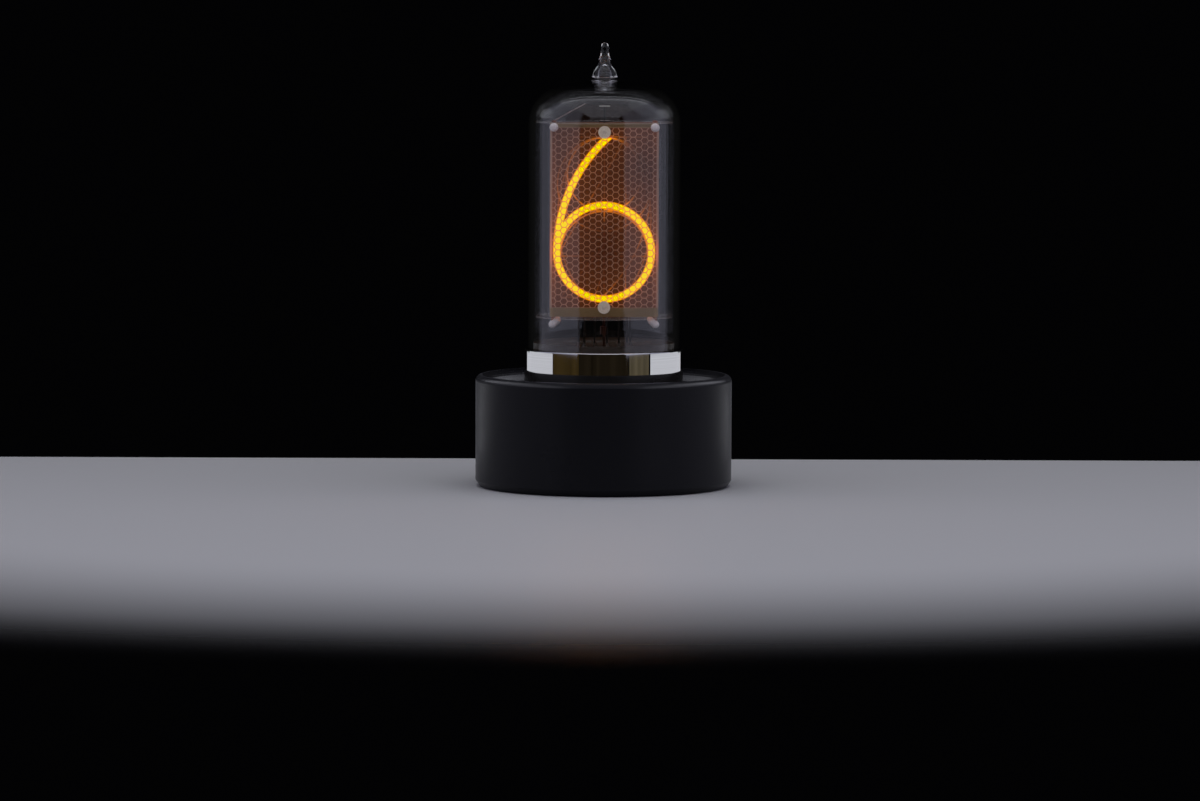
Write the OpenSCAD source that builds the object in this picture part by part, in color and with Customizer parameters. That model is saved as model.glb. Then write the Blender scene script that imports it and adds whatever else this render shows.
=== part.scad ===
// Single-digit nixie tube clock: a plug-in display tube on a turned round base.
// Origin: centre of the base on the table, +Z up, digits face -Y, +X to the viewer's right.

/* [Base] */
// Outer radius of the turned base
base_r = 54; // [50:0.5:60]
// Height of the base's crest above the table
crest_z = 47; // [44:0.5:50]
// Radius of the outer top edge's rounding
edge_r = 2.5; // [1:0.5:3]
// Thickness of the base's wall
base_wall = 4; // [3:0.5:5]
// Height of the dished top's floor
dish_z = 40; // [39:0.5:41]
// Thickness of the dished top
dish_t = 2.5; // [2:0.5:3]

/* [Socket] */
// Outer radius of the black socket sleeve and of the tube's collar
sleeve_r = 33.4; // [33:0.1:35]
// Height of the sleeve's rim, where the tube's collar sits
sleeve_top = 48.7; // [48:0.1:50]
// Number of pins on the tube
pins = 13; // [11:1:14]
// Radius of the circle that the pins stand on
pin_circle_r = 20; // [18:0.5:22]

/* [Tube] */
// Outer radius of the glass
glass_r = 32; // [30:0.5:32]
// Thickness of the glass
glass_t = 2.2; // [1.5:0.1:2.5]
// Height of the chrome collar
collar_h = 9.4; // [8:0.1:12]
// Height of the dome's crown
crown_z = 171; // [165:1:175]
// Height of the glass tip
tip_z = 186.6; // [180:0.1:190]

/* [Display] */
// Height of the lower mica disc
mica_low_z = 71.8; // [70:0.1:73]
// Height of the upper mica disc
mica_high_z = 153.3; // [152:0.1:154]
// Width of the anode cage
cage_w = 45.1; // [44:0.1:46]
// Depth of the anode cage
cage_d = 18.3; // [18:0.1:19]
// Width of a digit's wire-thin stroke
stroke_w = 0.6; // [0.4:0.1:0.8]
// Distance from one digit to the next behind it
digit_pitch = 1.4; // [1.2:0.1:1.4]

/* [Controls] */
// Height of the power inlet and the buttons on the back
rear_z = 18.6; // [18:0.1:19]
// Distance of each button from the power inlet
button_x = 12; // [11:0.5:12]
// Travel of a button
button_travel = 0.6; // [0.3:0.1:0.6]

/* [Hidden] */
$fn = 96;
EPS = 0.01;
// Gap round a part that is held in its hole, and round a part that passes freely
held_gap = 0.05;
free_gap = 0.2;
// Overlap that lets a cut run clean through a face
cut = 1;

// base
foot_h = 1.6;
foot_r = 5;
foot_circle_r = 42;
rim_z = 0.5;
chamfer_w = 1.5;
chamfer_h = 2.3;
crest_land = 0.4;
dish_corner_r = 6;
plate_z = 1.1;
plate_t = 2.4;
plate_r = 51;
plate_top = plate_z + plate_t;
boss_circle_r = 44;
boss_r = 4;
boss_angles = [45, 135, 225, 315];
screw_r = 1.5;
screw_hole_depth = 12;
vent_r = 1.5;
vent_circle_r = 22;
dish_under = dish_z - dish_t;
inner_r = base_r - base_wall;
pocket_y = 51.5;
pocket_w = 36;
pocket_h = 15;
jack_hole_r = 4.2;
jack_nose_r = 4;
jack_bore_r = 3.1;
jack_pin_r = 1.05;
jack_back = 41;
button_r = 2.2;
button_hole_r = 2.5;
button_flange_r = 2.9;
button_back = 46.6;
button_front = 52.9;
switch_size = [6, 4, 6];

// socket
sleeve_wall = 2.2;
sleeve_low = 33;
flange_r = 39;
flange_t = 2.5;
sleeve_screw_r = 36.4;
sleeve_screw_angles = [0, 90, 180, 270];
wafer_z = 41;
wafer_t = 4;
wafer_r = 31;
socket_board_z = 36;
pin_r = 0.5;
contact_r = 1.2;
spigot_r = 5;
spigot_low = 40;

// driver electronics
board_z = 10;
board_t = 1.6;
board_top = board_z + board_t;
board_r = 46;
standoff_circle_r = 40;
standoff_angles = [15, 165, 195, 345];
standoff_bore_r = 1.35;
cell_centre = [0, -28];
cell_r = 10;
cell_floor = 1;

// tube
base_disc_t = 3.2;
base_disc_top = sleeve_top + base_disc_t;
collar_bore_r = glass_r + 0.1;
glass_low = base_disc_top + 0.3;
stem_low = 54.5;
stem_top = 59;
knuckle_r = 16;
crown_r = 70;
crown_centre_z = crown_z - crown_r;
knuckle_x = glass_r - knuckle_r;
knuckle_z = crown_centre_z + sqrt(pow(crown_r - knuckle_r, 2) - pow(knuckle_x, 2));
crown_angle = asin(knuckle_x / (crown_r - knuckle_r));
bulb_r = 4.8;
bulb_z = 175;
ogive_r = 17.2;
flare_r = 4;
neck_r = 1.9;
neck_end_r = 1.6;
neck_z = 181.1;
bubble_r = 3;
exhaust_r = 1.2;
lead_r = 0.35;
lead_circle_r = 11;
lead_foot_h = 0.7;
anode_lead_r = 0.55;

// display
mica_r = 28.8;
mica_t = 0.3;
cage_low = mica_low_z + mica_t / 2;
cage_high = mica_high_z - mica_t / 2;
cage_h = cage_high - cage_low;
sheet_t = 0.3;
cage_corner_r = 2.15;
front_y = -cage_d / 2;
strip_low = 3.8;
strip_high = 1.9;
mesh_columns = 13;
mesh_rows = 21;
mesh_bar = 0.5;
digits = 10;
digit_order = [6, 3, 8, 9, 4, 0, 5, 7, 2, 1];
digit_t = 0.35;
digit_front_y = -6.6;
digit_low = 79.3;
digit_high = 147;
digit_mid = (digit_low + digit_high) / 2;
digit_half_w = 19.7;
upper_r = 15.5;
lower_r = (digit_high - digit_low) / 2 - upper_r;
four_x = 9;
seven_x = -4;
stem_r = 65.3;
stem_end = [1, 146.7];
eyelet_r = 1.9;
eyelet_low = 75.9;
eyelet_high = 149.3;
rod_r = 0.8;
washer_r = 2.6;
washer_t = 1.05;
post_x = 21.2;
post_y = 5;
post_r = 0.9;
bead_x = 20.9;
bead_r = 1.8;
getter_r = 2.3;
getter_z = 160.2;
wire_r = 0.16;
wire_bend = [-8.2, -3, 161.5];
post_low = mica_low_z - 1.9;
lug_x = 20.7;
lug_r = 1.6;
lug_len = 2.1;
lug_splay = 46;

// ---------- shared shapes ----------

// Copies of the children at each angle on a circle
module around(angles, radius) {
    for (a = angles)
        rotate(a) translate([radius, 0, 0]) children();
}

function even_angles(count, start = 0) = [for (i = [0:count - 1]) start + i * 360 / count];

// A tube standing on z
module ring(r_out, r_in, h) {
    difference() {
        cylinder(r = r_out, h = h);
        translate([0, 0, -1]) cylinder(r = r_in, h = h + 2);
    }
}

// A straight rod between two points
module rod(p, q, r) {
    d = q - p;
    translate(p)
        rotate([0, acos(d[2] / norm(d)), atan2(d[1], d[0])]) cylinder(r = r, h = norm(d), $fn = 24);
}

// Points of an arc in the plane
function arc(centre, r, a0, a1, steps) =
    [for (i = [0:steps]) centre + r * [cos(a0 + (a1 - a0) * i / steps), sin(a0 + (a1 - a0) * i / steps)]];

// A box that is centred in x and y and stands on z
module block(size) {
    translate([-size[0] / 2, -size[1] / 2, 0]) cube(size);
}

// A cylinder along +Y from y0 to y1
module along_y(r, y0, y1) {
    translate([0, y0, 0]) rotate([-90, 0, 0]) cylinder(r = r, h = y1 - y0);
}

// ---------- base ----------

// Half section of the turned base without its openings
module base_section() {
    dish_wall_r = base_r - edge_r - crest_land;
    polygon(concat(
        [[base_r - chamfer_w, rim_z], [base_r, rim_z + chamfer_h]],
        arc([base_r - edge_r, crest_z - edge_r], edge_r, 0, 90, 8),
        [[dish_wall_r, crest_z]],
        arc([dish_wall_r - dish_corner_r, dish_z + dish_corner_r], dish_corner_r, 0, -90, 10),
        [[sleeve_r + 0.1, dish_z], [sleeve_r + 0.1, dish_under],
         [inner_r - 2, dish_under], [inner_r, dish_under - 2],
         [inner_r, plate_top], [plate_r + 0.2, plate_top], [plate_r + 0.2, rim_z]]
    ));
}

module base_housing() {
    color("#26262b")
    difference() {
        union() {
            rotate_extrude() base_section();
            around(boss_angles, boss_circle_r)
                translate([0, 0, plate_top]) cylinder(r = boss_r, h = dish_under - plate_top + 1);
        }
        around(boss_angles, boss_circle_r)
            translate([0, 0, plate_top - cut]) cylinder(r = screw_r + held_gap, h = screw_hole_depth + cut);
        around(sleeve_screw_angles, sleeve_screw_r)
            translate([0, 0, dish_under - cut]) cylinder(r = screw_r + held_gap, h = 1.7 + cut);
        translate([-pocket_w / 2, pocket_y, rear_z - pocket_h / 2])
            cube([pocket_w, base_r, pocket_h]);
        translate([0, 0, rear_z]) along_y(jack_hole_r, 40, 60);
        for (side = [-1, 1])
            translate([side * button_x, 0, rear_z]) along_y(button_hole_r, 40, 60);
    }
}

module bottom_plate() {
    color("#1d1d20")
    difference() {
        translate([0, 0, plate_z]) cylinder(r = plate_r, h = plate_t);
        translate([0, 0, plate_z - cut]) {
            around(boss_angles, boss_circle_r) {
                cylinder(r = screw_r + free_gap, h = plate_t + 2 * cut);
                cylinder(r = 3.2, h = 1.3 + cut);
            }
            around(even_angles(4), foot_circle_r) cylinder(r = foot_r + held_gap, h = foot_h);
            around(even_angles(12), vent_circle_r) cylinder(r = vent_r, h = plate_t + 2 * cut);
            around(standoff_angles, standoff_circle_r)
                cylinder(r = standoff_bore_r + held_gap, h = plate_t + 2 * cut);
        }
    }
}

module feet() {
    color("#101010")
    around(even_angles(4), foot_circle_r)
        cylinder(r = foot_r, h = foot_h);
}

// A pan-head screw with its head down and its thread up
module screw_up(shank_h, head_r = 2.9, head_h = 1.1) {
    cylinder(r = head_r, h = head_h);
    cylinder(r = screw_r, h = head_h + shank_h);
}

module cover_screws() {
    color("#b0b0b4")
    around(boss_angles, boss_circle_r)
        translate([0, 0, plate_z + 0.2])
            difference() {
                screw_up(11);
                translate([0, 0, -1]) cylinder(r = 1.1, h = 1.7, $fn = 6);
            }
}

// ---------- socket ----------

module socket_sleeve() {
    bore_r = sleeve_r - sleeve_wall;
    ledge_t = 2.5;
    ledge_w = 2;
    color("#1b1917")
    difference() {
        union() {
            translate([0, 0, sleeve_low]) cylinder(r = sleeve_r, h = sleeve_top - sleeve_low);
            translate([0, 0, dish_under - flange_t]) cylinder(r = flange_r, h = flange_t);
        }
        translate([0, 0, sleeve_low - cut]) cylinder(r = bore_r, h = wafer_z - ledge_t - sleeve_low + cut);
        cylinder(r = bore_r - ledge_w, h = 60);
        translate([0, 0, wafer_z]) cylinder(r = bore_r, h = 20);
        around(sleeve_screw_angles, sleeve_screw_r)
            translate([0, 0, dish_under - flange_t - cut]) cylinder(r = screw_r + free_gap, h = 6);
    }
}

module sleeve_screws() {
    head_h = 1.1;
    color("#b0b0b4")
    around(sleeve_screw_angles, sleeve_screw_r)
        translate([0, 0, dish_under - flange_t - head_h]) screw_up(4, 2.4, head_h);
}

module socket_wafer() {
    color("#e9e4d8")
    difference() {
        translate([0, 0, wafer_z]) cylinder(r = wafer_r, h = wafer_t);
        translate([0, 0, wafer_z - cut]) {
            cylinder(r = spigot_r + 2 * free_gap, h = wafer_t + 2 * cut);
            around(even_angles(pins), pin_circle_r) cylinder(r = contact_r + 0.02, h = wafer_t + 2 * cut);
        }
    }
}

module socket_contacts() {
    color("#d8b45a")
    around(even_angles(pins), pin_circle_r)
        translate([0, 0, socket_board_z + board_t])
            ring(contact_r, pin_r + held_gap, wafer_z + wafer_t - socket_board_z - board_t);
}

module socket_board() {
    color("#155c2c")
    translate([0, 0, socket_board_z]) cylinder(r = wafer_r - 0.1, h = board_t);
}

module stacking_header() {
    color("#18181a")
    translate([0, -10, board_top]) block([30, 5, socket_board_z - board_top]);
}

// ---------- driver electronics ----------

module driver_board() {
    color("#155c2c")
    difference() {
        translate([0, 0, board_z]) cylinder(r = board_r, h = board_t);
        translate([0, 0, board_z - cut]) {
            around(boss_angles, boss_circle_r) cylinder(r = boss_r + 0.5, h = board_t + 2 * cut);
            around(standoff_angles, standoff_circle_r)
                cylinder(r = standoff_bore_r + held_gap, h = board_t + 2 * cut);
        }
    }
}

module standoffs() {
    color("#d2aa50")
    around(standoff_angles, standoff_circle_r)
        translate([0, 0, plate_top])
            difference() {
                cylinder(r = 3, h = board_z - plate_top, $fn = 6);
                translate([0, 0, -cut]) cylinder(r = standoff_bore_r, h = board_z - plate_top + 2 * cut);
            }
}

module board_screws() {
    color("#b0b0b4")
    around(standoff_angles, standoff_circle_r) {
        translate([0, 0, board_top]) cylinder(r = 2.4, h = 1.3);
        translate([0, 0, plate_top + 1]) cylinder(r = standoff_bore_r - 0.1, h = board_top - plate_top);
    }
}

module boost_coil() {
    coil_r = 7.5;
    coil_h = 9;
    cheek_t = 1.2;
    color("#3a3a3c")
    translate([-27, -2, board_top]) {
        cylinder(r = coil_r, h = cheek_t);
        cylinder(r = coil_r - 1.7, h = coil_h);
        translate([0, 0, coil_h - cheek_t]) cylinder(r = coil_r, h = cheek_t);
    }
}

module hv_capacitor() {
    can_r = 6.3;
    can_h = 16;
    color("#2c3d63")
    translate([-23, 17, board_top]) {
        cylinder(r = can_r, h = can_h - 1);
        cylinder(r = can_r - 0.4, h = can_h);
    }
}

module input_capacitor() {
    color("#20201f")
    translate([-7, 20, board_top]) cylinder(r = 4, h = 11.5);
}

module switch_transistor() {
    body = [10, 4.5, 9];
    tab = [10, 1.3, 15.5];
    color("#1a1a1c")
    translate([-23, -21, board_top]) {
        block(body);
        translate([0, (body[1] - tab[1]) / 2, 0]) block(tab);
    }
}

module driver_chips() {
    package = [20, 7, 3.4];
    color("#1a1a1c")
    for (y = [12, 22])
        translate([24, y, board_top]) block(package);
}

module controller_chip() {
    color("#1a1a1c")
    translate([25, -2, board_top]) block([18, 9, 2.6]);
}

module cell_holder() {
    color("#2a2a2c")
    translate([cell_centre[0], cell_centre[1], board_top])
        difference() {
            cylinder(r = cell_r + 1.6, h = 4.4);
            translate([0, 0, cell_floor]) cylinder(r = cell_r + 2 * held_gap, h = 6);
        }
}

module coin_cell() {
    color("#c9c9cc")
    translate([cell_centre[0], cell_centre[1], board_top + cell_floor]) {
        cylinder(r = cell_r, h = 2.8);
        cylinder(r = cell_r - 1.4, h = 3.2);
    }
}

module power_jack() {
    color("#161618")
    difference() {
        union() {
            translate([0, 43.4, board_top]) block([9, 11.8, 2 * (rear_z - board_top) - 1.6]);
            translate([0, 0, rear_z]) along_y(jack_nose_r, 45, pocket_y - free_gap);
        }
        translate([0, 0, rear_z]) along_y(jack_bore_r, jack_back, 60);
    }
}

module jack_pin() {
    color("#d0d0d4")
    translate([0, 0, rear_z]) along_y(jack_pin_r, jack_back, pocket_y - 1.5);
}

module button_board() {
    color("#155c2c")
    translate([0, 41.2, board_top])
        difference() {
            block([34, 1.4, 14.8]);
            translate([0, 0, -cut]) block([10, 5, 14 + cut]);
        }
}

module button_switches() {
    switch_front = button_back - button_travel - 0.1;
    color("#222224")
    for (side = [-1, 1])
        translate([side * button_x, switch_front - switch_size[1] / 2, rear_z - switch_size[2] / 2])
            block(switch_size);
}

// A set button: a cap that stands in its hole and a flange behind the wall
module set_button(side) {
    color("#8d8d92")
    translate([side * button_x, 0, rear_z]) {
        along_y(button_r, button_back, button_front);
        along_y(button_flange_r, button_back, button_back + 0.5);
    }
}

module hour_button() set_button(-1);

module minute_button() set_button(1);

// ---------- plug-in tube ----------

module tube_collar() {
    lip = 0.4;
    color("#e4e4e8")
    translate([0, 0, sleeve_top])
        rotate_extrude()
            polygon([
                [collar_bore_r, 0], [sleeve_r, 0],
                [sleeve_r, collar_h - lip], [sleeve_r - lip, collar_h],
                [collar_bore_r, collar_h]
            ]);
}

module tube_base() {
    color("#141414")
    difference() {
        union() {
            translate([0, 0, sleeve_top]) cylinder(r = collar_bore_r - held_gap, h = base_disc_t);
            translate([0, 0, spigot_low]) cylinder(r = spigot_r, h = sleeve_top - spigot_low + 1);
        }
        around(even_angles(pins), pin_circle_r)
            translate([0, 0, sleeve_top - cut]) cylinder(r = pin_r + 0.03, h = base_disc_t + 2 * cut);
    }
}

module tube_pins() {
    pin_low = wafer_z - 1.5;
    color("#cfc9b8")
    around(even_angles(pins), pin_circle_r)
        translate([0, 0, pin_low]) cylinder(r = pin_r, h = stem_low - pin_low);
}

// Half section of the solid glass, grown inwards by t
module glass_section(t, low) {
    reach = 2 * crown_r;
    wedge = [reach * sin(crown_angle), crown_centre_z + reach * cos(crown_angle)];
    translate([0, low]) square([glass_r - t, knuckle_z - low]);
    intersection() {
        translate([0, crown_centre_z]) circle(r = crown_r - t);
        polygon([[0, crown_centre_z], [0, crown_centre_z + reach], wedge]);
    }
    intersection() {
        translate([knuckle_x, knuckle_z]) circle(r = knuckle_r - t);
        translate([knuckle_x - 5, knuckle_z - EPS]) square(2 * knuckle_r);
    }
    polygon([[0, knuckle_z - 1], [knuckle_x, knuckle_z - 1], [knuckle_x, knuckle_z],
             [0, crown_centre_z + crown_r - 8]]);
}

// Half section of the sealed-off tip: a flare, a pear-shaped bulb and a thin neck
module tip_section() {
    polygon(concat(
        [[0, crown_z - 4]],
        arc([flare_r + bulb_r, crown_z + flare_r - 1], flare_r, 262, 192, 8),
        arc([bulb_r - ogive_r + 0.5, bulb_z - 4.2], ogive_r, 12, 36, 10),
        [[neck_r, neck_z + 0.4], [neck_end_r, tip_z - 0.8], [neck_end_r - 0.7, tip_z], [0, tip_z]]
    ));
}

module glass_envelope() {
    color([0.75, 0.85, 0.9, 0.35])
    difference() {
        rotate_extrude() {
            glass_section(0, glass_low);
            tip_section();
        }
        rotate_extrude() glass_section(glass_t, glass_low - 1);
        translate([0, 0, crown_z - 6]) cylinder(r = exhaust_r, h = 8);
        translate([0, 0, bulb_z + 0.5]) sphere(r = bubble_r);
    }
}

module glass_stem() {
    color([0.6, 0.55, 0.5, 0.6])
    difference() {
        translate([0, 0, stem_low]) cylinder(r = glass_r - glass_t - held_gap, h = stem_top - stem_low);
        translate([0, 0, stem_low - cut]) {
            around(even_angles(pins), lead_circle_r) cylinder(r = lead_r + 0.02, h = 10);
            cylinder(r = anode_lead_r + 0.02, h = 10);
        }
    }
}

// Leads rise from the stem to the lower mica; short feet join them to the pins below
module lead_wires() {
    lead_low = stem_low - 1;
    foot_w = pin_circle_r - pin_r - lead_circle_r + lead_r;
    color("#8c8378")
    for (a = even_angles(pins))
        rotate(a) {
            translate([lead_circle_r, 0, lead_low]) cylinder(r = lead_r, h = cage_low - lead_low);
            translate([lead_circle_r - lead_r, -lead_r, lead_low]) cube([foot_w, 2 * lead_r, lead_foot_h]);
        }
}

module anode_lead() {
    lead_low = stem_low - 0.4;
    color("#b8704a") {
        translate([0, 0, lead_low]) cylinder(r = anode_lead_r, h = cage_low + 1.2 - lead_low);
        translate([0, 0, 64]) cylinder(r = 1.6, h = 3.5);
    }
}

// ---------- electrodes ----------

module mica_disc(z) {
    difference() {
        translate([0, 0, z - mica_t / 2]) cylinder(r = mica_r, h = mica_t);
        for (sx = [-1, 1], sy = [-1, 1])
            translate([sx * post_x, sy * post_y, z - cut]) cylinder(r = post_r + held_gap, h = 2 * cut);
        children();
    }
}

module mica_bottom() {
    color([0.85, 0.85, 0.8, 0.5])
    mica_disc(mica_low_z) {
        around(even_angles(pins), lead_circle_r)
            translate([0, 0, mica_low_z - cut]) cylinder(r = lead_r + 0.1, h = 2 * cut);
        translate([0, 0, mica_low_z - cut]) cylinder(r = anode_lead_r + 0.1, h = 2 * cut);
    }
}

module mica_top() {
    color([0.85, 0.85, 0.8, 0.5])
    mica_disc(mica_high_z)
        translate([0, 0, mica_high_z - cut]) cylinder(r = 0.5, h = 2 * cut);
}

module corner_posts() {
    color("#6a5c50")
    for (sx = [-1, 1], sy = [-1, 1])
        translate([sx * post_x, sy * post_y, post_low])
            cylinder(r = post_r, h = mica_high_z + 0.8 - post_low);
}

// Frit beads on the cage's upper front corners
module corner_beads() {
    color("#f0ece6")
    for (sx = [-1, 1])
        translate([sx * bead_x, front_y, cage_high - bead_r - held_gap])
            rotate([90, 0, 0])
                rotate_extrude()
                    intersection() {
                        translate([0, bead_r * 0.3]) circle(r = bead_r);
                        square(2 * bead_r);
                    }
}

// Splayed lugs that hold the corner posts' ends under the lower mica
module post_feet() {
    upper_z = mica_low_z - mica_t / 2 - lug_r - held_gap;
    color("#f0ece6")
    for (sx = [-1, 1], sy = [-1, 1])
        difference() {
            translate([sx * (lug_x - lug_len / 2 * sin(lug_splay)), sy * post_y, upper_z])
                rotate([0, 180 - sx * lug_splay, 0])
                    rotate_extrude()
                        intersection() {
                            union() {
                                circle(r = lug_r);
                                translate([0, lug_len]) circle(r = lug_r);
                                square([lug_r, lug_len]);
                            }
                            translate([0, -5]) square(20);
                        }
            translate([sx * post_x, sy * post_y, post_low - 0.02]) cylinder(r = post_r + 0.02, h = 10);
        }
}

// Plan of one half of the cage: a front sheet, two rounded corners and two short sides
module cage_plan() {
    half_w = cage_w / 2;
    corner = half_w - cage_corner_r;
    side_end = -0.15;
    translate([-corner, front_y]) square([2 * corner, sheet_t]);
    for (sx = [-1, 1]) {
        intersection() {
            translate([sx * corner, front_y + cage_corner_r])
                difference() {
                    circle(r = cage_corner_r);
                    circle(r = cage_corner_r - sheet_t);
                }
            translate([sx > 0 ? corner : -half_w, front_y]) square(cage_corner_r);
        }
        translate([sx > 0 ? half_w - sheet_t : -half_w, front_y + cage_corner_r])
            square([sheet_t, side_end - front_y - cage_corner_r]);
    }
}

// Flat-topped hexagon gaps in staggered columns
module mesh_gaps(width, low, high) {
    column = width / mesh_columns;
    row = (high - low) / (mesh_rows + 0.5);
    gap_r = (column / 1.5) - mesh_bar / sqrt(3);
    for (i = [0:mesh_columns - 1], j = [0:mesh_rows - 1])
        translate([(i - (mesh_columns - 1) / 2) * column, low + row * (j + 0.5 + (i % 2) / 2)])
            circle(r = gap_r, $fn = 6);
}

module anode_mesh() {
    flat_w = cage_w - 2 * cage_corner_r;
    color("#a8795c")
    difference() {
        translate([0, 0, cage_low]) linear_extrude(cage_h) cage_plan();
        difference() {
            translate([0, front_y + 1, 0]) rotate([90, 0, 0])
                linear_extrude(2) mesh_gaps(flat_w, cage_low + strip_low, cage_high - strip_high);
            for (z = [eyelet_low, eyelet_high])
                translate([0, 0, z]) along_y(washer_r, front_y - 2, front_y + 2);
        }
        for (z = [eyelet_low, eyelet_high])
            translate([0, 0, z]) along_y(rod_r + held_gap, front_y - 2, front_y + 2);
    }
}

module rear_plate() {
    color("#4a3a30")
    difference() {
        translate([0, 0, cage_low]) linear_extrude(cage_h) mirror([0, 1]) cage_plan();
        for (z = [eyelet_low, eyelet_high])
            translate([0, 0, z]) along_y(rod_r + held_gap, -front_y - 2, -front_y + 2);
    }
}

// ---------- digits ----------

// Sector of the plane from angle a0 to a1, at most 330 degrees
module wedge(a0, a1) {
    polygon(concat([[0, 0]], arc([0, 0], 200, a0, a1, 8)));
}

// A thin arc about a centre
module arc_stroke(centre, r, a0, a1) {
    translate(centre)
        intersection() {
            difference() {
                circle(r = r + stroke_w / 2);
                circle(r = r - stroke_w / 2);
            }
            wedge(a0, a1);
        }
}

// A thin closed circle
module circle_stroke(centre, r) {
    translate(centre)
        difference() {
            circle(r = r + stroke_w / 2);
            circle(r = r - stroke_w / 2);
        }
}

// A thin straight line with eight-sided ends that overlap what they meet
module line_stroke(p, q) {
    d = q - p;
    translate(p) rotate(atan2(d[1], d[0])) translate([0, -stroke_w / 2]) square([norm(d), stroke_w]);
    translate(p) circle(r = stroke_w * 0.62, $fn = 8);
    translate(q) circle(r = stroke_w * 0.62, $fn = 8);
}

// Outline of an upright oval of four arcs, grown by t
function oval(half_w, half_h, end_r, t) =
    let (
        rise = half_h - end_r,
        side_r = (pow(half_w, 2) + pow(rise, 2) - pow(end_r, 2)) / (2 * (half_w - end_r)),
        a = atan2(rise, side_r - half_w)
    )
    concat(
        arc([half_w - side_r, 0], side_r + t, -a + 2, a - 2, 12),
        arc([0, rise], end_r + t, a, 180 - a, 12),
        arc([side_r - half_w, 0], side_r + t, 182 - a, 178 + a, 12),
        arc([0, -rise], end_r + t, 180 + a, 360 - a, 12)
    );

module shape_0() {
    half_h = (digit_high - digit_low) / 2;
    end_r = 15;
    translate([0, digit_mid])
        difference() {
            polygon(oval(digit_half_w, half_h, end_r, stroke_w / 2));
            polygon(oval(digit_half_w, half_h, end_r, -stroke_w / 2));
        }
}

module shape_1() line_stroke([0, digit_low - 1], [0, digit_high]);

module shape_2() {
    r = 18;
    centre = [0, digit_high - r];
    leave = -35;
    corner = [-18.5, digit_low];
    arc_stroke(centre, r, leave, 170);
    line_stroke(centre + r * [cos(leave), sin(leave)], corner);
    line_stroke(corner, [19, digit_low]);
}

module shape_3() {
    arc_stroke([0, digit_high - upper_r], upper_r, -90, 155);
    arc_stroke([0, digit_low + lower_r + stroke_w], lower_r + stroke_w / 2, -155, 90);
}

module shape_4() {
    bar = 19.5;
    bar_z = 97;
    line_stroke([four_x, digit_low], [four_x, digit_high]);
    line_stroke([four_x, digit_high], [-bar, bar_z]);
    line_stroke([-bar, bar_z], [bar, bar_z]);
}

module shape_5() {
    a = 150;
    centre = [0, digit_low + digit_half_w];
    corner = [-15.5, digit_high];
    arc_stroke(centre, digit_half_w, -145, a);
    line_stroke(centre + digit_half_w * [cos(a), sin(a)], corner);
    line_stroke(corner, [17, digit_high]);
}

module shape_6() {
    centre = [0, digit_low + digit_half_w];
    circle_stroke(centre, digit_half_w);
    arc_stroke(centre + [stem_r - digit_half_w, 0], stem_r, 133, 180);
}

module shape_7() {
    corner = [18.5, digit_high];
    line_stroke([-18, digit_high], corner);
    line_stroke(corner, [seven_x, digit_low]);
}

module shape_8() {
    circle_stroke([0, digit_high - upper_r], upper_r);
    circle_stroke([0, digit_low + lower_r], lower_r);
    line_stroke([0, digit_mid - 1], [0, digit_mid + 3.4]);
}

module shape_9() {
    translate([0, 2 * digit_mid]) rotate(180) shape_6();
}

// Eyelets above and below a digit, and the short links to its foot and its head
module eyelets(foot, head) {
    link_low = [0, eyelet_low + eyelet_r - 0.3];
    link_high = [0, eyelet_high - eyelet_r + 0.3];
    for (z = [eyelet_low, eyelet_high])
        translate([0, z])
            difference() {
                circle(r = eyelet_r);
                circle(r = rod_r + held_gap);
            }
    line_stroke(link_low, foot);
    line_stroke(head, link_high);
}

// Middle plane of a digit in the stack, counted from the front
function digit_y(n) = digit_front_y + digit_pitch * search(n, digit_order)[0];

module digit(n, foot = [0, digit_low], head = [0, digit_high]) {
    color("#c8642c")
    translate([0, digit_y(n) + digit_t / 2, 0])
        rotate([90, 0, 0])
            linear_extrude(digit_t) {
                eyelets(foot, head);
                children();
            }
}

module numeral_0() digit(0) shape_0();
module numeral_1() digit(1) shape_1();
module numeral_2() digit(2) shape_2();
module numeral_3() digit(3) shape_3();
module numeral_4() digit(4, [four_x, digit_low], [four_x, digit_high]) shape_4();
module numeral_5() digit(5) shape_5();
module numeral_6() digit(6, head = stem_end) shape_6();
module numeral_7() digit(7, foot = [seven_x, digit_low]) shape_7();
module numeral_8() digit(8) shape_8();
module numeral_9() digit(9, foot = [-stem_end[0], 2 * digit_mid - stem_end[1]]) shape_9();

module support_rods() {
    color("#b89a80")
    for (z = [eyelet_low, eyelet_high])
        translate([0, 0, z]) along_y(rod_r, front_y - washer_t - 0.2, -front_y + 1);
}

// A ring around a rod, from y0 to y1
module rod_ring(z, r, y0, y1) {
    translate([0, 0, z])
        difference() {
            along_y(r, y0, y1);
            along_y(rod_r + held_gap, y0 - cut, y1 + cut);
        }
}

module front_washers() {
    color("#e8dcc0")
    for (z = [eyelet_low, eyelet_high])
        rod_ring(z, washer_r, front_y - washer_t, front_y);
}

module ceramic_spacers() {
    half_t = digit_t / 2;
    r = eyelet_r - 0.1;
    planes = [for (i = [0:digits - 1]) digit_front_y + i * digit_pitch];
    color("#efe9dc")
    for (z = [eyelet_low, eyelet_high]) {
        rod_ring(z, r, front_y + sheet_t, planes[0] - half_t);
        for (i = [1:digits - 1]) rod_ring(z, r, planes[i - 1] + half_t, planes[i] - half_t);
        rod_ring(z, r, planes[digits - 1] + half_t, -front_y - sheet_t);
    }
}

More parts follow.
